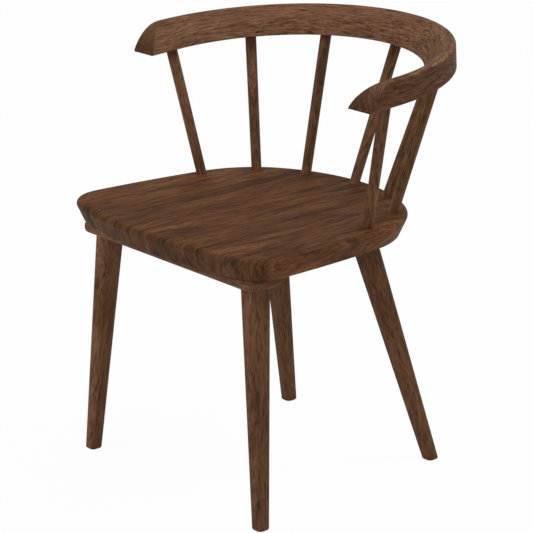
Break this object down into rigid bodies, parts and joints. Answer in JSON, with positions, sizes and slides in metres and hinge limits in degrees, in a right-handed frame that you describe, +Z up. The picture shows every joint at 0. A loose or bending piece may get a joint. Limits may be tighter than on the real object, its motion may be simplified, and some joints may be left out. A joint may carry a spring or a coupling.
{
  "type": "dining armchair",
  "caption": "Low wooden dining armchair: a D-shaped seat on tapered splayed legs, and a bent bow on slender spindles that is both back rail and armrests.",
  "frame": {"origin": "on the floor under the middle of the chair's outline", "axes": "+Z up, -Y the way the sitter faces, +X to the sitter's left hand"},
  "size_m": [0.596, 0.5677, 0.7309],
  "materials": {
    "bow_wood": "satin oiled walnut",
    "seat_wood": "satin oiled walnut",
    "spindle_wood": "satin oiled walnut",
    "leg_wood": "satin oiled walnut",
    "batten_wood": "satin oiled walnut",
    "screw_steel": "bright zinc-plated steel"
  },
  "bodies": {
    "root": {"seat_board_1": "seat_wood", "seat_board_2": "seat_wood", "seat_board_3": "seat_wood", "seat_board_4": "seat_wood", "front_batten": "batten_wood", "rear_batten": "batten_wood", "front_batten_screws": "screw_steel", "rear_batten_screws": "screw_steel", "leg_front_left": "leg_wood", "leg_front_right": "leg_wood", "leg_rear_left": "leg_wood", "leg_rear_right": "leg_wood", "spindle_1": "spindle_wood", "spindle_2": "spindle_wood", "spindle_3": "spindle_wood", "spindle_4": "spindle_wood", "spindle_5": "spindle_wood", "spindle_6": "spindle_wood", "spindle_7": "spindle_wood", "arm_bow": "bow_wood"}
  },
  "joints": []
}
